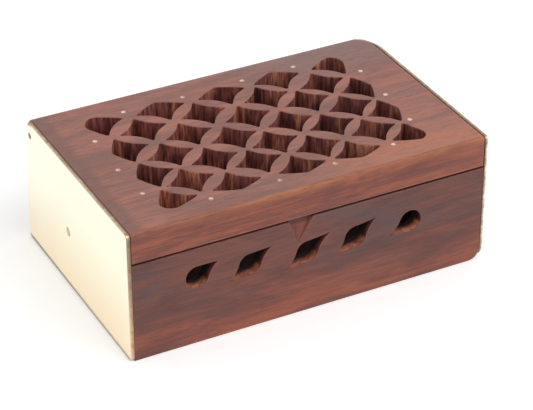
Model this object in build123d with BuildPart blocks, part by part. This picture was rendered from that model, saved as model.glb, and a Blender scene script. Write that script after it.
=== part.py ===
from build123d import *
import os
from itertools import cycle
from math import asin, atan2, cos, degrees, radians, sin, sqrt

# Wooden spice box with a pierced, hinged lid and brass end plates, in millimetres.
# The origin is the middle of the underside. +X runs to the right along the box,
# -Y is the front and +Z is up. The lid is modelled closed.

# Whole box
box_length = 100.0  # over the two end plates
box_depth = 64.0
box_height = 36.3

# Boards and plates
lid_thickness = 8.2
front_wall_thickness = 4.0
back_wall_thickness = 4.0
end_wall_thickness = 4.0
bottom_thickness = 3.0
plate_thickness = 1.0

# Room round the lid, which rests on the end walls
seam_gap = 0.7  # lid underside to the tops of the long walls
lid_end_gap = 0.2  # lid end to end plate
rest_set_back = 3.0  # the end walls step down this far before the back wall

# Rounded edges
rear_round = 4.0  # rear top edge of the lid and of both end plates
lid_front_round = 0.9
lid_end_easing = 0.2
wall_easing = 0.3
plate_easing = 0.25
plate_corner_round = 1.2

# Corners softened by sanding
sanded_front_round = 3.2  # lower right corner of the front wall and of its plate
corner_rounds = (8.5, 13.0)  # rear top corners of lid and plates, left and right, seen from above
corner_round_height = 2.5  # they are sanded down this far
left_edge_lean = 2.8  # the upright rear left edge is broken this far at the top, nothing at the foot

# Lid hinge, a flush pin through each end plate into the lid's end
pivot_from_rear = 4.4
pivot_from_top = 3.65
hinge_pin_diameter = 1.6
hinge_pin_reach = 8.0  # length inside the lid
hinge_pin_clearance = 0.05  # radial, in the end plate

# Countersunk nail that holds each end plate to its end wall
nail_diameter = 1.4
nail_point_cover = 0.8  # wood left behind the nail's point
nail_head_diameter = 2.4
nail_head_depth = 0.5
nail_from_front = 36.6
nail_height = 16.8
driven_clearance = 0.03  # radial, round anything driven into wood

# Pierced pattern of the lid: rows of four-pointed stars, with a row between each two
star_columns = 5
star_rows = 4
star_margin_left = 15.45  # lid's edge to the nearest star centres
star_margin_right = 14.1
star_margin_front = 9.15
star_margin_rear = 13.2
star_gap_x = 2.9  # tip to tip between neighbours, before the tips are rounded
star_gap_y = 0.9
star_waist = 1.05  # inward bow of each side
star_tip_round = 0.4
border_reach_left = 3.5  # centre to the blunt side of a border star
border_reach_right = 2.8
border_reach_front = 2.9
border_reach_rear = 4.1
border_bow = 0.3  # outward bow of the blunt sides
corner_bow = 0.9
border_tip_round = 1.3
star_easing = 0.25
pattern_turn = 0.7  # degrees out of square with the box

# The stars are cut by hand: how far each lies off the grid in x and y, row by row from the front,
# first the main rows and then the rows between them
star_wander = (
    ((-0.6, 0.4), (-0.2, 0.4), (0.6, -0.2), (-0.9, -0.4), (-0.9, 0.4))
    + ((0, 0.2), (0.4, -0.4), (0.4, -0.3), (0.2, 0.5), (-0.4, -0.2))
    + ((-0.4, -0.2), (0.2, -0.4), (0.4, 0.3), (0.6, 0.2), (-0.4, -0.4))
    + ((-0.9, 0.6), (-0.6, 0.2), (-0.2, 0), (-0.8, 0.3), (-0.6, 0.3))
    + ((-0.9, 0.3), (0.8, 0.4), (0.4, -0.2), (-0.4, 0.2))
    + ((0.2, -0.3), (0.9, -0.3), (0.2, 0), (0.6, -0.4))
    + ((-0.4, 0), (-0.4, 0.2), (0.6, 0), (0, -0.4))
)

# Brass pegs let in flush round the pattern, level with the crossings of the bars
peg_diameter = 1.2
peg_length = 4.0
peg_margin_rear = 3.7  # peg to the outermost star centres
peg_margin_front = 2.65
peg_margin_left = 5.5
peg_margin_right = 2.95
rear_peg_shift = -1.4  # the rear pegs stand a little to the left of the crossings
peg_wander = {  # and how far each peg of a row lies off its place, as with the stars
    "rear": ((0.2, -0.3), (0, -0.6), (0.6, 0), (-1, 0.2)),
    "front": ((-0.4, -0.3), (1.2, -0.6), (-0.1, -0.2), (0.3, 1)),
    "left": ((0.2, 0.2), (-0.4, -1.1), (0.3, 0.3)),
    "right": ((-1.1, 0.1), (0.1, 0.3), (0.7, 0.4)),
}

# Leaf-shaped vents in the front wall, cut by hand, so not quite alike or in line:
# x and z of the round, centre to tip, and the tips' lean from level in degrees
slots = (
    (-31.8, 19.3, 6.4, 28.5),
    (-17.5, 18.6, 6.9, 31.0),
    (-1.7, 17.5, 7.7, 30.7),
    (11.9, 17.8, 7.1, 34.0),
    (27.7, 17.8, 6.7, 24.5),
)
slot_radius = 3.1
slot_outer_spread = 62.0  # where the flatter side of a tip leaves the round
slot_inner_spread = 45.0  # where its hollow side leaves the round

# Fingernail notch in the front wall's top edge
notch_centre_x = -3.5
notch_width = 6.6
notch_height = 6.6
notch_lean = -0.9  # its point lies this far to the left of its middle
notch_depth = 1.0

# Derived places
front_y = -box_depth / 2
rear_y = box_depth / 2
lid_underside = box_height - lid_thickness
wall_top = lid_underside - seam_gap
board_length = box_length - 2 * plate_thickness
lid_length = board_length - 2 * lid_end_gap
inner_length = board_length - 2 * end_wall_thickness
inner_front_y = front_y + front_wall_thickness
inner_rear_y = rear_y - back_wall_thickness
inner_depth = inner_rear_y - inner_front_y
inner_middle_y = (inner_front_y + inner_rear_y) / 2
pivot_y = rear_y - pivot_from_rear
pivot_z = box_height - pivot_from_top
nail_y = front_y + nail_from_front
nail_head_taper = degrees(atan2((nail_head_diameter - nail_diameter) / 2, nail_head_depth))
star_pitch_x = (lid_length - star_margin_left - star_margin_right) / (star_columns - 1)
star_pitch_y = (box_depth - star_margin_front - star_margin_rear) / (star_rows - 1)
star_reach_x = (star_pitch_x - star_gap_x) / 2
star_reach_y = (star_pitch_y - star_gap_y) / 2
outer_column_x = (star_columns - 1) / 2 * star_pitch_x
outer_row_y = (star_rows - 1) / 2 * star_pitch_y
pattern_x = (star_margin_left - star_margin_right) / 2
pattern_y = (star_margin_front - star_margin_rear) / 2
pattern_place = Location((pattern_x, pattern_y, 0), (0, 0, pattern_turn))
leaning_edge = Plane(
    origin=(-box_length / 2, rear_y, 0),
    z_dir=(-box_height, box_height, left_edge_lean),
)
ends = (("left", -1), ("right", 1))


def end_plane(side, x):
    # Plane across the box at a distance x from its middle, facing out of that end
    return Plane(origin=(side * x, 0, 0), x_dir=(0, side, 0), z_dir=(side, 0, 0))


def round_corner(sketch, corner, radius):
    fillet(sketch.vertices().sort_by_distance(corner)[0], radius)


def star_opening(side_x, side_y):
    # One star; a side of -1 or 1 says on which border of the pattern it lies
    reaches = (
        border_reach_right if side_x > 0 else star_reach_x,
        border_reach_rear if side_y > 0 else star_reach_y,
        border_reach_left if side_x < 0 else star_reach_x,
        border_reach_front if side_y < 0 else star_reach_y,
    )
    blunt = (side_x > 0, side_y > 0, side_x < 0, side_y < 0)
    bows = (-star_waist, border_bow, corner_bow)
    tips = [Vector(reach, 0).rotate(Axis.Z, 90 * i) for i, reach in enumerate(reaches)]
    with BuildSketch(mode=Mode.PRIVATE) as opening:
        with BuildLine():
            for i in range(4):
                following = (i + 1) % 4
                middle = (tips[i] + tips[following]) / 2
                bow = bows[blunt[i] + blunt[following]]
                ThreePointArc(tips[i], middle + middle.normalized() * bow, tips[following])
        make_face()
        for tip, is_blunt in zip(tips, blunt):
            round_corner(opening, tip, border_tip_round if is_blunt else star_tip_round)
    return opening.sketch


def leaf_slot(tip_angles, tip_reach):
    # A round hole drawn out to a point in each given direction
    with BuildSketch(mode=Mode.PRIVATE) as slot:
        Circle(slot_radius)
        for angle in tip_angles:
            outer = radians(angle + slot_outer_spread)
            inner = radians(angle - slot_inner_spread)
            outer_point = (slot_radius * cos(outer), slot_radius * sin(outer))
            inner_point = (slot_radius * cos(inner), slot_radius * sin(inner))
            tip = (tip_reach * cos(radians(angle)), tip_reach * sin(radians(angle)))
            with BuildLine():
                TangentArc(outer_point, tip, tangent=(sin(outer), -cos(outer)))
                TangentArc(inner_point, tip, tangent=(-sin(inner), cos(inner)))
                Line(inner_point, outer_point)
            make_face()
    return slot.sketch


os.makedirs("parts", exist_ok=True)

# Shapes that are cut away: the softened rear top corners, and the fingernail notch
front_plane = Plane.XZ.offset(-front_y)
notch_plane = Plane.YZ.offset(notch_centre_x)

corner_cuts = []
for (name, side), radius in zip(ends, corner_rounds):
    with BuildPart() as corner_cut:
        with Locations((side * box_length / 2, rear_y, box_height)):
            Box(2 * radius, 2 * radius, 2 * corner_round_height)
        with Locations((side * (box_length / 2 - radius), rear_y - radius, box_height)):
            Cone(
                sqrt(2) * radius,
                radius,
                corner_round_height,
                align=(Align.CENTER, Align.CENTER, Align.MAX),
                mode=Mode.SUBTRACT,
            )
    corner_cuts.append(corner_cut.part)

with BuildPart() as notch:
    with BuildSketch(front_plane):
        with BuildLine():
            Polyline(
                (notch_centre_x - notch_width / 2, wall_top),
                (notch_centre_x + notch_lean, wall_top - notch_height),
                (notch_centre_x + notch_width / 2, wall_top),
                close=True,
            )
        make_face()
    extrude(amount=-notch_depth)
    with BuildSketch(notch_plane):
        with BuildLine():
            Polyline(
                (front_y, wall_top - notch_height),
                (front_y, wall_top),
                (front_y + notch_depth, wall_top),
                close=True,
            )
        make_face()
    extrude(amount=notch_width / 2, both=True, mode=Mode.INTERSECT)

# Front wall with its vents
with BuildPart() as front_wall:
    with BuildSketch(front_plane) as outline:
        Rectangle(board_length, wall_top, align=(Align.CENTER, Align.MIN))
        round_corner(outline, (board_length / 2, 0), sanded_front_round)
    extrude(amount=-front_wall_thickness)
    fillet(front_wall.faces().sort_by(Axis.Y)[0].edges(), wall_easing)
    with BuildSketch(front_plane):
        last_slot = len(slots) - 1
        for i, (x, z, tip_reach, tip_angle) in enumerate(slots):
            tip_angles = []
            if i < last_slot:
                tip_angles.append(tip_angle)
            if i > 0:
                tip_angles.append(tip_angle + 180)
            with Locations((x, z)):
                add(leaf_slot(tip_angles, tip_reach))
    extrude(amount=-front_wall_thickness, mode=Mode.SUBTRACT)
    add(notch.part, mode=Mode.SUBTRACT)
front_wall.part.label = "front_wall"
export_step(front_wall.part, "parts/front_wall.step")

# Back wall
with BuildPart() as back_wall:
    with BuildSketch(Plane.XZ.offset(-rear_y)):
        Rectangle(board_length, wall_top, align=(Align.CENTER, Align.MIN))
    extrude(amount=back_wall_thickness)
    fillet(back_wall.faces().sort_by(Axis.Y)[-1].edges(), wall_easing)
    split(bisect_by=leaning_edge, keep=Keep.BOTTOM)
back_wall.part.label = "back_wall"
export_step(back_wall.part, "parts/back_wall.step")

# End walls, which carry the closed lid, and the brass plates nailed over them
for name, side in ends:
    with BuildPart() as end_wall:
        with BuildSketch(end_plane(side, board_length / 2)):
            with Locations((side * inner_middle_y, 0)):
                Rectangle(inner_depth, lid_underside, align=(Align.CENTER, Align.MIN))
            with Locations((side * inner_rear_y, lid_underside)):
                Rectangle(2 * rest_set_back, 2 * seam_gap, mode=Mode.SUBTRACT)
        extrude(amount=-end_wall_thickness)
        with BuildSketch(end_plane(side, board_length / 2)):
            with Locations((side * nail_y, nail_height)):
                Circle(nail_diameter / 2 + driven_clearance)
        extrude(amount=-(end_wall_thickness - nail_point_cover), mode=Mode.SUBTRACT)
    end_wall.part.label = f"{name}_end_wall"
    export_step(end_wall.part, f"parts/{name}_end_wall.step")

    with BuildPart() as end_plate:
        with BuildSketch(end_plane(side, board_length / 2)) as outline:
            Rectangle(box_depth, box_height, align=(Align.CENTER, Align.MIN))
            round_corner(outline, (side * rear_y, box_height), rear_round)
            for corner in ((rear_y, 0), (front_y, box_height)):
                round_corner(outline, (side * corner[0], corner[1]), plate_corner_round)
            lower_round = sanded_front_round if side > 0 else plate_corner_round
            round_corner(outline, (side * front_y, 0), lower_round)
            with Locations((side * pivot_y, pivot_z)):
                Circle(hinge_pin_diameter / 2 + hinge_pin_clearance, mode=Mode.SUBTRACT)
            with Locations((side * nail_y, nail_height)):
                Circle(nail_diameter / 2 + driven_clearance, mode=Mode.SUBTRACT)
        extrude(amount=plate_thickness)
        outer_face = end_plate.faces().sort_by(Axis.X)[-1 if side > 0 else 0]
        fillet(outer_face.outer_wire().edges(), plate_easing)
        with BuildSketch(end_plane(side, box_length / 2)):
            with Locations((side * nail_y, nail_height)):
                Circle(nail_head_diameter / 2 + driven_clearance)
        extrude(amount=-nail_head_depth, taper=nail_head_taper, mode=Mode.SUBTRACT)
        add(corner_cuts, mode=Mode.SUBTRACT)
        split(bisect_by=leaning_edge, keep=Keep.BOTTOM)
    end_plate.part.label = f"{name}_end_plate"
    export_step(end_plate.part, f"parts/{name}_end_plate.step")

    with BuildPart() as plate_nail:
        with BuildSketch(end_plane(side, box_length / 2)):
            with Locations((side * nail_y, nail_height)):
                Circle(nail_diameter / 2)
        extrude(amount=-(plate_thickness + end_wall_thickness - nail_point_cover))
        with BuildSketch(end_plane(side, box_length / 2)):
            with Locations((side * nail_y, nail_height)):
                Circle(nail_head_diameter / 2)
        extrude(amount=-nail_head_depth, taper=nail_head_taper)
    plate_nail.part.label = f"{name}_plate_nail"
    export_step(plate_nail.part, f"parts/{name}_plate_nail.step")

    with BuildPart() as hinge_pin:
        with BuildSketch(end_plane(side, box_length / 2)):
            with Locations((side * pivot_y, pivot_z)):
                Circle(hinge_pin_diameter / 2)
        extrude(amount=-(plate_thickness + lid_end_gap + hinge_pin_reach))
    hinge_pin.part.label = f"{name}_hinge_pin"
    export_step(hinge_pin.part, f"parts/{name}_hinge_pin.step")

# Bottom board, let in between the four walls
with BuildPart() as bottom_board:
    with BuildSketch():
        with Locations((0, inner_middle_y)):
            Rectangle(inner_length, inner_depth)
    extrude(amount=bottom_thickness)
bottom_board.part.label = "bottom_board"
export_step(bottom_board.part, "parts/bottom_board.step")

# Lid panel: its rear underside is rounded about the pivot so that it clears the back wall
relief_radius = pivot_z - lid_underside
relief_angle = degrees(asin(pivot_from_rear / relief_radius))
crossing_columns = [(i + 0.5) * star_pitch_x - outer_column_x for i in range(star_columns - 1)]
crossing_rows = [(i + 0.5) * star_pitch_y - outer_row_y for i in range(star_rows - 1)]
even_pegs = {
    "rear": [(x + rear_peg_shift, outer_row_y + peg_margin_rear) for x in crossing_columns],
    "front": [(x, -outer_row_y - peg_margin_front) for x in crossing_columns],
    "left": [(-outer_column_x - peg_margin_left, y) for y in crossing_rows],
    "right": [(outer_column_x + peg_margin_right, y) for y in crossing_rows],
}
peg_rows = {}
for name, points in even_pegs.items():
    shifts = cycle(peg_wander[name])
    peg_rows[name] = [(x + shift_x, y + shift_y) for (x, y), (shift_x, shift_y) in zip(points, shifts)]

main_rows = [i * star_pitch_y - outer_row_y for i in range(star_rows)]
main_columns = [i * star_pitch_x - outer_column_x for i in range(star_columns)]
stars = []
for row, y in enumerate(main_rows):
    side_y = (row == star_rows - 1) - (row == 0)
    for column, x in enumerate(main_columns):
        side_x = (column == star_columns - 1) - (column == 0)
        stars.append((x, y, side_x, side_y))
for y in crossing_rows:
    for x in crossing_columns:
        stars.append((x, y, 0, 0))

with BuildPart() as lid_panel:
    with BuildSketch(Plane.YZ) as section:
        with BuildLine():
            relief = CenterArc((pivot_y, pivot_z), relief_radius, -90, relief_angle)
            Polyline(
                relief @ 0,
                (front_y, lid_underside),
                (front_y, box_height),
                (rear_y, box_height),
                relief @ 1,
            )
        make_face()
        round_corner(section, (front_y, box_height), lid_front_round)
        round_corner(section, (rear_y, box_height), rear_round)
    extrude(amount=lid_length / 2, both=True)
    end_edges = lid_panel.edges().group_by(Axis.Z)[-1].filter_by(Axis.Y)
    fillet(end_edges, lid_end_easing)
    add(corner_cuts, mode=Mode.SUBTRACT)
    split(bisect_by=leaning_edge, keep=Keep.BOTTOM)
    with BuildSketch(Plane.XY.offset(box_height)):
        with Locations(pattern_place):
            for (x, y, side_x, side_y), (shift_x, shift_y) in zip(stars, cycle(star_wander)):
                with Locations((x + shift_x, y + shift_y)):
                    add(star_opening(side_x, side_y))
    extrude(amount=-lid_thickness, mode=Mode.SUBTRACT)
    top_face = lid_panel.faces().sort_by(Axis.Z)[-1]
    fillet(top_face.inner_wires().edges(), star_easing)
    for points in peg_rows.values():
        with BuildSketch(Plane.XY.offset(box_height)):
            with Locations(pattern_place):
                with Locations(*points):
                    Circle(peg_diameter / 2 + driven_clearance)
        extrude(amount=-peg_length, mode=Mode.SUBTRACT)
    for name, side in ends:
        with BuildSketch(end_plane(side, lid_length / 2)):
            with Locations((side * pivot_y, pivot_z)):
                Circle(hinge_pin_diameter / 2 + driven_clearance)
        extrude(amount=-hinge_pin_reach, mode=Mode.SUBTRACT)
lid_panel.part.label = "lid_panel"
export_step(lid_panel.part, "parts/lid_panel.step")

# Brass pegs in the lid, one group for each side of the pattern
for name, points in peg_rows.items():
    with BuildPart() as pegs:
        with BuildSketch(Plane.XY.offset(box_height)):
            with Locations(pattern_place):
                with Locations(*points):
                    Circle(peg_diameter / 2)
        extrude(amount=-peg_length)
    pegs.part.label = f"{name}_pegs"
    export_step(pegs.part, f"parts/{name}_pegs.step")
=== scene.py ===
import math

import bpy
from mathutils import Matrix, Vector


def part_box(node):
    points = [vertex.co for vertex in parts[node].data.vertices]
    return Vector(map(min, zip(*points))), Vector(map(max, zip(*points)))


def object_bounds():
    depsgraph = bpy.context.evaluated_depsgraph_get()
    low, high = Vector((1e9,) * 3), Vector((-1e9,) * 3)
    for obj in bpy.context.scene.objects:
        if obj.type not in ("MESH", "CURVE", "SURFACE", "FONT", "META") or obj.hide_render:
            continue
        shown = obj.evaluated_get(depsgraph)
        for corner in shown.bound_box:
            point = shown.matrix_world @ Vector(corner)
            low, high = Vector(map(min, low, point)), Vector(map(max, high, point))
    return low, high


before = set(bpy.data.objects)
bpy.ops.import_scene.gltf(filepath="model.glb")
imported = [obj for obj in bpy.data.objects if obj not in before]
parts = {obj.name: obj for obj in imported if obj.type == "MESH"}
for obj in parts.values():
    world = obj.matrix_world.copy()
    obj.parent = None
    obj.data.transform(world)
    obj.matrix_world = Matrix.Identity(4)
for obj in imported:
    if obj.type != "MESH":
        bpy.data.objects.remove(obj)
cadBox = [list(corner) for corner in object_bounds()]
scene = bpy.context.scene
leftX, frontY, baseZ = cadBox[0]  # outer faces of the box
rightX, rearY, topZ = cadBox[1]
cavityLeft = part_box("left_end_wall")[1].x  # inner faces of its walls
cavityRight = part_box("right_end_wall")[0].x
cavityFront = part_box("front_wall")[1].y
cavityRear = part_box("back_wall")[0].y
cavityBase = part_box("bottom_board")[1].z
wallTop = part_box("front_wall")[1].z
print("frame loaded with", len(parts), "nodes")


def makeNode(tree, kind, inputs=None, **settings):
    node = tree.nodes.new(kind)
    for name, value in settings.items():
        setattr(node, name, value)
    for key, value in (inputs or {}).items():
        if isinstance(value, bpy.types.NodeSocket):
            tree.links.new(value, node.inputs[key])
        else:
            node.inputs[key].default_value = value
    return node


def mathNode(tree, operation, first, second=0.5):
    return makeNode(tree, "ShaderNodeMath", {0: first, 1: second}, operation=operation).outputs[0]


def scaled(tree, value, amount):
    return mathNode(tree, "MULTIPLY", value, amount)


def weighted(tree, noises, weights):
    total = None
    for name, weight in weights.items():
        share = scaled(tree, noises[name], weight)
        total = share if total is None else mathNode(tree, "ADD", total, share)
    return total


def smoothRange(tree, value, low, high, least=0.0, most=1.0):
    inputs = {"Value": value, "From Min": low, "From Max": high, "To Min": least, "To Max": most}
    node = makeNode(tree, "ShaderNodeMapRange", inputs, interpolation_type="SMOOTHSTEP")
    return node.outputs["Result"]


def between(tree, value, low, high, soft):
    rising = smoothRange(tree, value, low, low + soft)
    falling = smoothRange(tree, value, high, high - soft)
    return scaled(tree, rising, falling)


def allOf(tree, *masks):
    result = masks[0]
    for mask in masks[1:]:
        result = scaled(tree, result, mask)
    return result


def mixColours(tree, factor, first, second, blend="MIX"):
    node = makeNode(tree, "ShaderNodeMix", data_type="RGBA", blend_type=blend)
    tree.links.new(factor, node.inputs[0])
    for index, value in ((6, first), (7, second)):
        if isinstance(value, bpy.types.NodeSocket):
            tree.links.new(value, node.inputs[index])
        else:
            node.inputs[index].default_value = (*value, 1.0)
    return node.outputs[2]


def tint(tree, colour, paint, *masks):
    return mixColours(tree, allOf(tree, *masks), colour, paint)


def colourRamp(tree, factor, stops):
    node = makeNode(tree, "ShaderNodeValToRGB", {"Fac": factor})
    ramp = node.color_ramp
    while len(ramp.elements) < len(stops):
        ramp.elements.new(1.0)
    for element, (place, colour) in zip(ramp.elements, stops):
        element.position = place
        element.color = (*colour, 1.0)
    return node.outputs["Color"]


def stretchedNoise(tree, position, scale, detail=2.0, roughness=0.5, distortion=0.0, offset=(0, 0, 0)):
    mapping = {"Vector": position, "Scale": scale, "Location": offset}
    noise = {
        "Vector": makeNode(tree, "ShaderNodeMapping", mapping).outputs[0],
        "Scale": 1.0,
        "Detail": detail,
        "Roughness": roughness,
        "Distortion": distortion,
    }
    return makeNode(tree, "ShaderNodeTexNoise", noise).outputs["Fac"]


def newGroup(name, inputs, outputs):
    group = bpy.data.node_groups.new(name, "ShaderNodeTree")
    for socketName, kind, value in inputs:
        socket = group.interface.new_socket(socketName, in_out="INPUT", socket_type=kind)
        if value is not None:
            socket.default_value = value
    for socketName in outputs:
        group.interface.new_socket(socketName, in_out="OUTPUT", socket_type="NodeSocketFloat")
    start = group.nodes.new("NodeGroupInput").outputs
    end = group.nodes.new("NodeGroupOutput").inputs
    return group, start, end


def putOut(group, end, results):
    for name, socket in results.items():
        group.links.new(socket, end[name])


def placeGroup(tree, group, inputs=None):
    return makeNode(tree, "ShaderNodeGroup", inputs, node_tree=group).outputs


grainSettings = {  # noise scales are in waves per metre, and the grain runs along X
    "figure": {"scale": (34, 140, 140), "detail": 3.0, "roughness": 0.55, "distortion": 1.0},
    "streaks": {"scale": (40, 700, 700), "detail": 2.0, "roughness": 0.6, "distortion": 0.4},
    "fibres": {"scale": (150, 2200, 2200), "detail": 1.0},
    "pores": {"scale": (260, 3600, 3600), "detail": 1.0},
    "weights": {"figure": 0.5, "streaks": 0.32, "fibres": 0.18},
    "toneRange": (0.36, 0.64),
    "poreRange": (0.6, 0.7),
}


def makeGrain():
    inputs = [("Position", "NodeSocketVector", None), ("Shift", "NodeSocketFloat", 0.0)]
    group, start, end = newGroup("rosewoodGrain", inputs, ["Tone", "Streaks", "Pores"])
    shift = makeNode(group, "ShaderNodeCombineXYZ", {0: start["Shift"], 1: start["Shift"]}).outputs[0]
    place = makeNode(group, "ShaderNodeVectorMath", {0: start["Position"], 1: shift}).outputs[0]
    noises = {}
    for name in ("figure", "streaks", "fibres", "pores"):
        noises[name] = stretchedNoise(group, place, **grainSettings[name])
    tone = weighted(group, noises, grainSettings["weights"])
    putOut(group, end, {
        "Tone": smoothRange(group, tone, *grainSettings["toneRange"]),
        "Streaks": noises["streaks"],
        "Pores": smoothRange(group, noises["pores"], *grainSettings["poreRange"]),
    })
    return group


sawSettings = {  # upright tool marks on cut walls, with lighter patches here and there
    "coarse": {"scale": (420, 420, 90), "detail": 3.0, "roughness": 0.6, "distortion": 1.2},
    "fine": {"scale": (1700, 1700, 160), "detail": 1.0, "distortion": 0.3},
    "patches": {"scale": (230, 230, 45), "detail": 2.0, "distortion": 0.6, "offset": (3.7, 1.3, 0)},
    "weights": {"coarse": 0.6, "fine": 0.4},
    "markRange": (0.36, 0.64),
    "patchRange": (0.5, 0.64),
}


def makeSawMarks():
    inputs = [("Position", "NodeSocketVector", None)]
    group, start, end = newGroup("sawMarks", inputs, ["Marks", "Patches"])
    noises = {}
    for name in ("coarse", "fine", "patches"):
        noises[name] = stretchedNoise(group, start["Position"], **sawSettings[name])
    marks = weighted(group, noises, sawSettings["weights"])
    putOut(group, end, {
        "Marks": smoothRange(group, marks, *sawSettings["markRange"]),
        "Patches": smoothRange(group, noises["patches"], *sawSettings["patchRange"]),
    })
    return group


facingSettings = {"turnStart": 0.25, "turnEnd": 0.6}  # parts of the normal along an axis


def makeFacing():
    # which way the surface looks, in the piece's own space, so it holds when the lid swings
    group, _, end = newGroup("facing", [], ["Up", "Front", "Left", "Level"])
    normal = makeNode(group, "ShaderNodeTexCoord").outputs["Normal"]
    sides = makeNode(group, "ShaderNodeSeparateXYZ", {0: normal}).outputs
    low, high = facingSettings["turnStart"], facingSettings["turnEnd"]
    putOut(group, end, {
        "Up": smoothRange(group, sides["Z"], low, high),
        "Front": smoothRange(group, sides["Y"], -low, -high),
        "Left": smoothRange(group, sides["X"], -low, -high),
        "Level": smoothRange(group, mathNode(group, "ABSOLUTE", sides["Z"]), low, high),
    })
    return group


wearSettings = {"radius": 0.0006, "samples": 6, "alikeRange": (0.995, 0.86)}


def makeEdgeWear():
    inputs = [("Radius", "NodeSocketFloat", wearSettings["radius"])]
    group, start, end = newGroup("edgeWear", inputs, ["Worn"])
    radius, samples = start["Radius"], wearSettings["samples"]
    rounded = makeNode(group, "ShaderNodeBevel", {"Radius": radius}, samples=samples).outputs[0]
    flat = makeNode(group, "ShaderNodeNewGeometry").outputs["Normal"]
    normals = {0: rounded, 1: flat}
    alike = makeNode(group, "ShaderNodeVectorMath", normals, operation="DOT_PRODUCT").outputs["Value"]
    putOut(group, end, {"Worn": smoothRange(group, alike, *wearSettings["alikeRange"])})
    return group


rosewoodGrain = makeGrain()
sawMarks = makeSawMarks()
facing = makeFacing()
edgeWear = makeEdgeWear()
print("shared shader groups made")


def emptyTree(holder):
    holder.use_nodes = True
    holder.node_tree.nodes.clear()
    return holder.node_tree


def newMaterial(name):
    material = bpy.data.materials.new(name)
    tree = emptyTree(material)
    output = tree.nodes.new("ShaderNodeOutputMaterial")
    shader = tree.nodes.new("ShaderNodeBsdfPrincipled")
    tree.links.new(shader.outputs[0], output.inputs["Surface"])
    position = makeNode(tree, "ShaderNodeTexCoord").outputs["Object"]
    place = makeNode(tree, "ShaderNodeSeparateXYZ", {0: position}).outputs
    return material, tree, shader, position, place


def within(tree, place, look, *keys):
    # all of the ranges that the keys name; a key's last letter is its axis
    masks = []
    for key in keys:
        shape = between if len(look[key]) == 3 else smoothRange
        masks.append(shape(tree, place[key[-1]], *look[key]))
    return allOf(tree, *masks)


def wornEdges(tree, look):
    worn = placeGroup(tree, edgeWear, {"Radius": look["wornRadius"]})["Worn"]
    return scaled(tree, worn, look["wornMost"])


def woodRelief(tree, grain, look):
    streaks = scaled(tree, grain["Streaks"], look["streakHeight"])
    return mathNode(tree, "SUBTRACT", streaks, grain["Pores"])


def plugIn(tree, shader, look, colour, roughness, height):
    relief = {"Height": height, "Distance": look["bump"], "Strength": look["bumpStrength"]}
    bump = makeNode(tree, "ShaderNodeBump", relief).outputs[0]
    for name, socket in (("Base Color", colour), ("Roughness", roughness), ("Normal", bump)):
        tree.links.new(socket, shader.inputs[name])


# a range of two numbers is where a mask starts and ends, and four add its least and most;
# three are the two ends of a band and its softness
lidFinish = {
    "grainShift": 0.0,
    "top": [(0.0, (0.203, 0.085, 0.068)), (0.5, (0.28, 0.109, 0.081)), (1.0, (0.385, 0.14, 0.096))],
    # the front face is darker and redder than the top: painted shade that takes off its sheen
    "front": [(0.0, (0.138, 0.041, 0.032)), (0.5, (0.225, 0.06, 0.039)), (1.0, (0.35, 0.096, 0.05))],
    "frontY": (frontY + 0.0012, frontY + 0.0004),
    "warm": (0.45, 0.157, 0.086),  # painted light on the front right of the top, lighter and more orange
    "warmX": (-0.012, 0.03),
    "warmY": (frontY + 0.016, frontY + 0.005, 0.0, 0.75),
    "grey": (0.215, 0.125, 0.118),  # painted sheen on the rear right of the top, greyer
    "greyX": (-0.002, 0.03),
    "greyY": (rearY - 0.022, rearY - 0.008, 0.0, 0.7),
    "leftBand": (0.19, 0.085, 0.066),
    "leftBandX": (leftX + 0.006, leftX + 0.0035, 0.0, 0.75),
    "rearLeft": (0.12, 0.085, 0.065),
    "rearLeftX": (leftX + 0.014, leftX + 0.004),
    "rearLeftY": (rearY - 0.006, rearY - 0.002, 0.0, 0.6),
    "arris": (0.4, 0.13, 0.052),  # painted highlight along the top front edge, brighter in places
    "arrisX": (leftX + 0.005, 0.005, 0.35, 1.0),
    "arrisY": (frontY + 0.0015, frontY + 0.0006),
    "arrisZ": (topZ - 0.0025, topZ - 0.0005),
    "arrisPatches": {"scale": (60, 200, 200), "detail": 2.0},
    "arrisPatchRange": (0.38, 0.56, 0.35, 0.95),
    "cut": [(0.0, (0.08, 0.0235, 0.0215)), (0.5, (0.226, 0.065, 0.058)), (1.0, (0.4, 0.125, 0.102))],
    "cutLight": [(0.0, (0.2, 0.058, 0.043)), (0.5, (0.47, 0.155, 0.095)), (1.0, (0.75, 0.31, 0.18))],
    "cutRight": (0.76, 0.78, 0.82),  # the cut walls darken to the right
    "cutRightX": (-0.03, 0.04),
    "piercedX": (leftX + 0.0085, rightX - 0.0085, 0.001),
    "piercedY": (frontY + 0.0032, rearY - 0.0058, 0.001),
    "worn": (0.42, 0.19, 0.13),
    "wornRadius": 0.0007,
    "wornMost": 0.35,
    "pore": (0.06, 0.025, 0.02),
    "poreMost": 0.35,
    "roughness": (0.3, 0.7, 0.4, 0.56),
    "streakHeight": 0.5,
    "cutHeight": 2.0,
    "bump": 0.00012,
    "bumpStrength": 0.6,
}


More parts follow.
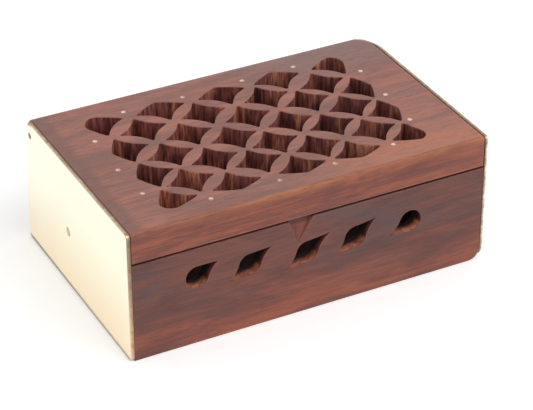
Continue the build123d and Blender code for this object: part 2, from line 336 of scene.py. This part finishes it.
def makeLidWood():
    look = lidFinish
    material, tree, shader, position, place = newMaterial("lidRosewood")
    grain = placeGroup(tree, rosewoodGrain, {"Position": position, "Shift": look["grainShift"]})
    colour = colourRamp(tree, grain["Tone"], look["top"])
    # the first two spots are painted light at the front right and painted sheen at the rear right
    for spot in ("warm", "grey", "leftBand", "rearLeft"):
        keys = [spot + axis for axis in "XY" if spot + axis in look]
        colour = tint(tree, colour, look[spot], within(tree, place, look, *keys))
    # the front face takes its darker ramp, painted shade against its sheen
    frontColour = colourRamp(tree, grain["Tone"], look["front"])
    colour = tint(tree, colour, frontColour, within(tree, place, look, "frontY"))
    # painted highlight along the top front edge, in patches
    patches = stretchedNoise(tree, position, **look["arrisPatches"])
    patches = smoothRange(tree, patches, *look["arrisPatchRange"])
    arris = within(tree, place, look, "arrisX", "arrisY", "arrisZ")
    colour = tint(tree, colour, look["arris"], arris, patches)
    colour = tint(tree, colour, look["worn"], wornEdges(tree, look))
    saw = placeGroup(tree, sawMarks, {"Position": position})
    lightWalls = colourRamp(tree, saw["Marks"], look["cutLight"])
    walls = tint(tree, colourRamp(tree, saw["Marks"], look["cut"]), lightWalls, saw["Patches"])
    toRight = within(tree, place, look, "cutRightX")
    walls = mixColours(tree, toRight, walls, look["cutRight"], "MULTIPLY")
    upright = mathNode(tree, "SUBTRACT", 1.0, placeGroup(tree, facing)["Level"])
    cutMask = allOf(tree, within(tree, place, look, "piercedX", "piercedY"), upright)
    colour = tint(tree, colour, walls, cutMask)
    colour = tint(tree, colour, look["pore"], scaled(tree, grain["Pores"], look["poreMost"]))
    cutRelief = allOf(tree, saw["Marks"], scaled(tree, cutMask, look["cutHeight"]))
    height = mathNode(tree, "ADD", woodRelief(tree, grain, look), cutRelief)
    roughness = smoothRange(tree, grain["Streaks"], *look["roughness"])
    plugIn(tree, shader, look, colour, roughness, height)
    return material


boxFinish = {
    "grainShift": 0.37,
    "upper": [(0.0, (0.093, 0.034, 0.028)), (0.5, (0.136, 0.043, 0.034)), (1.0, (0.197, 0.062, 0.044))],
    "lower": [(0.0, (0.15, 0.047, 0.036)), (0.5, (0.233, 0.065, 0.043)), (1.0, (0.345, 0.097, 0.053))],
    "lowerZ": (0.016, 0.004),
    "greyPatch": (0.105, 0.06, 0.06),
    "greyPatches": {"scale": (30, 80, 110), "detail": 2.0, "distortion": 0.4},
    "greyPatchRange": (0.45, 0.65),
    "greyPatchZ": (0.006, 0.02, 0.08, 0.68),
    "worn": (0.3, 0.12, 0.075),
    "wornRadius": 0.0006,
    "wornMost": 0.35,
    "pore": (0.05, 0.022, 0.018),
    "poreMost": 0.35,
    # painted shade, bluish, multiplied over the box's inner faces
    "inside": (0.145, 0.15, 0.165),
    "insideX": (cavityLeft - 0.0002, cavityRight + 0.0002, 0.0004),
    "insideY": (cavityFront - 0.0004, cavityRear + 0.0004, 0.0004),
    "insideZ": (cavityBase - 0.0005, cavityBase - 0.0001),
    "insideMost": 0.85,
    "inWallY": (frontY + 0.00005, cavityFront - 0.0002, 0.0002),  # in the front wall, off both faces
    "notch": [(0.0, (0.11, 0.026, 0.02)), (0.5, (0.165, 0.037, 0.027)), (1.0, (0.23, 0.056, 0.037))],
    "notchX": (-0.0075, -0.0003, 0.0004),
    "notchZ": (wallTop - 0.0067, wallTop + 0.0008, 0.0004),
    # painted light lifting the shaded right part of the notch
    "notchRight": (0.225, 0.056, 0.037),
    "notchRightX": (-0.005, -0.0035, 0.0, 0.7),
    # painted shade at the notch's top, under the lid's edge
    "notchTop": (0.09, 0.021, 0.016),
    "notchTopZ": (wallTop - 0.0019, wallTop - 0.0006),
    "paintedNotchSideLight": (0.42, 0.125, 0.095),  # painted light on its steep right side, seen edge on, which lies in shade
    "ventX": (leftX + 0.005, rightX - 0.005, 0.0004),
    "ventZ": (0.01, 0.0245, 0.0004),
    # painted shade, near black, deep in the vent walls
    "paintedVentShade": (0.017, 0.013, 0.015),
    "ventWall": (0.2, 0.04, 0.03),
    "ventWallY": (frontY + 0.0017, frontY + 0.0001),
    # lighter chipped lips, brightened further with painted light where they sit in shade
    "ventLip": [(0.0, (0.31, 0.086, 0.053)), (1.0, (0.68, 0.24, 0.135))],
    "ventLipY": (frontY + 0.0032, frontY + 0.0008),
    "ventLipZ": (0.0185, 0.0166),
    "roughness": (0.3, 0.7, 0.42, 0.58),
    "streakHeight": 0.5,
    "bump": 0.00012,
    "bumpStrength": 0.6,
}


def makeBoxWood():
    look = boxFinish
    material, tree, shader, position, place = newMaterial("boxRosewood")
    grain = placeGroup(tree, rosewoodGrain, {"Position": position, "Shift": look["grainShift"]})
    marks = placeGroup(tree, sawMarks, {"Position": position})["Marks"]
    sides = placeGroup(tree, facing)
    lower = colourRamp(tree, grain["Tone"], look["lower"])
    colour = colourRamp(tree, grain["Tone"], look["upper"])
    colour = tint(tree, colour, lower, within(tree, place, look, "lowerZ"))
    patches = stretchedNoise(tree, position, **look["greyPatches"])
    patches = smoothRange(tree, patches, *look["greyPatchRange"])
    colour = tint(tree, colour, look["greyPatch"], patches, within(tree, place, look, "greyPatchZ"))
    colour = tint(tree, colour, look["worn"], wornEdges(tree, look))
    colour = tint(tree, colour, look["pore"], scaled(tree, grain["Pores"], look["poreMost"]))
    # painted shade inside the box
    inside = within(tree, place, look, "insideX", "insideY", "insideZ")
    inside = scaled(tree, inside, look["insideMost"])
    colour = mixColours(tree, inside, colour, look["inside"], "MULTIPLY")

    notchMask = within(tree, place, look, "inWallY", "notchX", "notchZ")
    notch = colourRamp(tree, marks, look["notch"])
    # painted light on the notch's right part and its steep side
    notch = tint(tree, notch, look["notchRight"], within(tree, place, look, "notchRightX"))
    # painted shade at the notch's top
    notch = tint(tree, notch, look["notchTop"], within(tree, place, look, "notchTopZ"))
    notch = tint(tree, notch, look["paintedNotchSideLight"], sides["Left"])
    colour = tint(tree, colour, notch, notchMask)

    ventMask = within(tree, place, look, "inWallY", "ventX", "ventZ")
    outsideNotch = mathNode(tree, "SUBTRACT", 1.0, notchMask)
    ventWall = within(tree, place, look, "ventWallY")  # 1 at the face, 0 deep in the vent, where painted shade darkens the walls
    vent = mixColours(tree, ventWall, look["paintedVentShade"], look["ventWall"])
    # the vent lips: lighter chips plus painted light
    lipChipsAndLight = within(tree, place, look, "ventLipY", "ventLipZ")
    vent = tint(tree, vent, colourRamp(tree, marks, look["ventLip"]), lipChipsAndLight, sides["Up"])
    colour = tint(tree, colour, vent, ventMask, outsideNotch)

    roughness = smoothRange(tree, grain["Streaks"], *look["roughness"])
    plugIn(tree, shader, look, colour, roughness, woodRelief(tree, grain, look))
    return material


sheetFinish = {
    "clean": (1.0, 0.985, 0.8),
    "warm": (1.0, 0.86, 0.64),
    "cloud": {"scale": (60, 60, 60), "detail": 3.0, "roughness": 0.55},
    "cloudLift": 0.012,
    "cleanHeight": (0.006, 0.032),
    "worn": (0.6, 0.45, 0.28),
    "wornRadius": 0.0005,
    "wornMost": 0.4,
    "foot": (0.19, 0.15, 0.118),  # painted contact shadow just above the table
    "footY": (frontY + 0.002, rearY - 0.002, 0.75, 1.0),
    "footZ": (baseZ + 0.0015, baseZ + 0.0003),
    "topInner": (0.25, 0.155, 0.107),  # tarnish, against the wood
    "topOuter": (0.62, 0.5, 0.36),
    "ragged": {"scale": (700, 700, 700), "detail": 2.0, "roughness": 0.6},
    "raggedReach": 0.0012,
    "outerRange": (rightX - 0.0004, rightX + 0.0006),
    "stainHeight": (0.008, 0.038),
    "scratches": {"scale": (300, 160, 5200), "detail": 1.0, "roughness": 0.4, "distortion": 0.2},
    "roughness": (0.35, 0.65, 0.3, 0.42),
    "bump": 0.00003,
    "bumpStrength": 0.4,
}
leftPlate = {
    "name": "leftBrassSheet",
    "frontInner": (0.43, 0.275, 0.155),
    "frontOuter": (0.71, 0.54, 0.365),
    "upperStain": (0.52, 0.52, 0.55),
}
rightPlate = {
    "name": "rightBrassSheet",
    "frontInner": (0.29, 0.16, 0.115),
    "frontOuter": (1.0, 0.95, 0.8),
    "upperStain": (0.9, 0.88, 0.86),
}


def makeBrassSheet(plate):
    look = sheetFinish
    material, tree, shader, position, place = newMaterial(plate["name"])
    cloud = stretchedNoise(tree, position, **look["cloud"])
    height = mathNode(tree, "ADD", place["Z"], scaled(tree, cloud, look["cloudLift"]))
    clean = smoothRange(tree, height, *look["cleanHeight"])
    colour = mixColours(tree, clean, look["warm"], look["clean"])
    colour = tint(tree, colour, look["worn"], wornEdges(tree, look))
    # painted contact shadow along the plate's foot
    colour = tint(tree, colour, look["foot"], within(tree, place, look, "footY", "footZ"))
    ragged = scaled(tree, stretchedNoise(tree, position, **look["ragged"]), look["raggedReach"])
    across = mathNode(tree, "ADD", mathNode(tree, "ABSOLUTE", place["X"]), ragged)
    outer = smoothRange(tree, across, *look["outerRange"])  # from the wood to the outer face
    front = mixColours(tree, outer, plate["frontInner"], plate["frontOuter"])
    stain = smoothRange(tree, height, *look["stainHeight"])
    front = mixColours(tree, stain, front, plate["upperStain"], "MULTIPLY")
    edges = placeGroup(tree, facing)
    colour = tint(tree, colour, front, edges["Front"])
    top = mixColours(tree, outer, look["topInner"], look["topOuter"])
    colour = tint(tree, colour, top, edges["Up"])
    scratches = stretchedNoise(tree, position, **look["scratches"])
    roughness = smoothRange(tree, scratches, *look["roughness"])
    plugIn(tree, shader, look, colour, roughness, scratches)
    shader.inputs["Metallic"].default_value = 1.0
    return material


wireFinish = {
    "tarnish": {"scale": (900, 900, 900), "detail": 2.0, "roughness": 0.55},
    "tarnishRange": (0.42, 0.66),
    "roughnessRange": (0.3, 0.7),
    "bump": 0.00005,
    "bumpStrength": 0.4,
}
pegWire = {
    "name": "pegWire",
    "bright": (0.8, 0.64, 0.53),
    "dark": (0.45, 0.31, 0.24),
    "roughness": (0.35, 0.55),
}
nailWire = {
    "name": "nailWire",
    "bright": (0.76, 0.65, 0.49),
    "dark": (0.46, 0.36, 0.26),
    "roughness": (0.35, 0.55),
}
# the hinge pins coloured dark: painted shade for their shadow side
paintedShadePin = {
    "name": "paintedShadePin",
    "bright": (0.36, 0.28, 0.2),
    "dark": (0.15, 0.11, 0.085),
    "roughness": (0.4, 0.6),
}


def makeWire(wire):
    look = wireFinish
    material, tree, shader, position, _ = newMaterial(wire["name"])
    tarnish = stretchedNoise(tree, position, **look["tarnish"])
    dull = smoothRange(tree, tarnish, *look["tarnishRange"])
    colour = mixColours(tree, dull, wire["bright"], wire["dark"])
    roughness = smoothRange(tree, tarnish, *look["roughnessRange"], *wire["roughness"])
    plugIn(tree, shader, look, colour, roughness, tarnish)
    shader.inputs["Metallic"].default_value = 1.0
    return material


def dress(material, names):
    for name in names:
        slots = parts[name].data.materials
        slots.clear()
        slots.append(material)


dress(makeLidWood(), ["lid_panel"])
dress(makeBoxWood(), ["front_wall", "back_wall", "left_end_wall", "right_end_wall", "bottom_board"])
dress(makeBrassSheet(leftPlate), ["left_end_plate"])
dress(makeBrassSheet(rightPlate), ["right_end_plate"])
dress(makeWire(nailWire), ["left_plate_nail", "right_plate_nail"])
dress(makeWire(paintedShadePin), ["left_hinge_pin", "right_hinge_pin"])
dress(makeWire(pegWire), ["rear_pegs", "front_pegs", "left_pegs", "right_pegs"])
print("materials assigned")


def seenRays(tree):
    # 1 for what the eye sees, straight or in a reflection, and 0 for light on the object
    rays = makeNode(tree, "ShaderNodeLightPath").outputs
    seen = mathNode(tree, "MAXIMUM", rays["Is Camera Ray"], rays["Is Glossy Ray"])
    return mathNode(tree, "MAXIMUM", seen, rays["Is Transmission Ray"])


floorSettings = {"size": 4.0, "colour": (0.8, 0.8, 0.8), "lift": 0.38, "drop": 0.00005}


def makeFloor():
    place = (0, 0, -floorSettings["drop"])  # a hair below the underside
    bpy.ops.mesh.primitive_plane_add(size=floorSettings["size"], location=place)
    floor = bpy.context.object
    floor.name = "paleFloor"
    material = bpy.data.materials.new("paleFloor")
    tree = emptyTree(material)
    output = tree.nodes.new("ShaderNodeOutputMaterial")
    matt = makeNode(tree, "ShaderNodeBsdfDiffuse", {"Color": (*floorSettings["colour"], 1.0)})
    glow = scaled(tree, seenRays(tree), floorSettings["lift"])
    lift = makeNode(tree, "ShaderNodeEmission", {"Strength": glow})
    both = makeNode(tree, "ShaderNodeAddShader", {0: matt.outputs[0], 1: lift.outputs[0]})
    tree.links.new(both.outputs[0], output.inputs["Surface"])
    floor.data.materials.append(material)


makeFloor()

lightSettings = {
    "worldColour": (1.0, 1.0, 1.0),
    "worldForObject": 0.7,
    "worldSeen": 1.0,
    "keyPlace": (0.45, -0.6, 0.9),
    "keySize": 0.8,
    "keyPower": 5.2,
}


def makeLights():
    world = bpy.data.worlds.new("softRoom")
    scene.world = world
    tree = emptyTree(world)
    least = lightSettings["worldForObject"]
    extra = scaled(tree, seenRays(tree), lightSettings["worldSeen"] - least)
    strength = mathNode(tree, "ADD", extra, least)
    colour = (*lightSettings["worldColour"], 1.0)
    sky = makeNode(tree, "ShaderNodeBackground", {"Color": colour, "Strength": strength})
    output = tree.nodes.new("ShaderNodeOutputWorld")
    tree.links.new(sky.outputs[0], output.inputs["Surface"])
    lamp = bpy.data.lights.new("softKey", "AREA")
    lamp.energy = lightSettings["keyPower"]
    lamp.size = lightSettings["keySize"]
    key = bpy.data.objects.new("softKey", lamp)
    key.location = lightSettings["keyPlace"]
    key.rotation_mode = "QUATERNION"
    key.rotation_quaternion = (-key.location).to_track_quat("-Z", "Y")
    scene.collection.objects.link(key)


makeLights()
print("floor and lights made")

cameraSettings = {
    "place": (-0.2203495, -0.4313825, 0.3173676),
    "azimuth": -27.4331,  # degrees, fitted to the box's edges in the photo
    "elevation": 32.1696,
    "roll": -0.0813,
    "lens": 149.354,  # mm, for the sensor's width
    "sensor": 36.0,
    "clip": (0.01, 20.0),
}


def makeCamera():
    data = bpy.data.cameras.new("photoCamera")
    data.sensor_fit = "HORIZONTAL"
    data.sensor_width = cameraSettings["sensor"]
    data.lens = cameraSettings["lens"]
    data.clip_start, data.clip_end = cameraSettings["clip"]
    azimuth = math.radians(cameraSettings["azimuth"])
    elevation = math.radians(cameraSettings["elevation"])
    roll = math.radians(cameraSettings["roll"])
    reach = math.cos(elevation)
    back = Vector((math.sin(azimuth) * reach, -math.cos(azimuth) * reach, math.sin(elevation)))
    level = Vector((math.cos(azimuth), math.sin(azimuth), 0.0))
    upright = back.cross(level)
    right = level * math.cos(roll) + upright * math.sin(roll)
    up = upright * math.cos(roll) - level * math.sin(roll)
    camera = bpy.data.objects.new("photoCamera", data)
    turn = Matrix((right, up, back)).transposed().to_4x4()
    camera.matrix_world = Matrix.Translation(cameraSettings["place"]) @ turn
    scene.collection.objects.link(camera)
    scene.camera = camera


makeCamera()
scene.view_settings.view_transform = "Standard"
print("camera set")
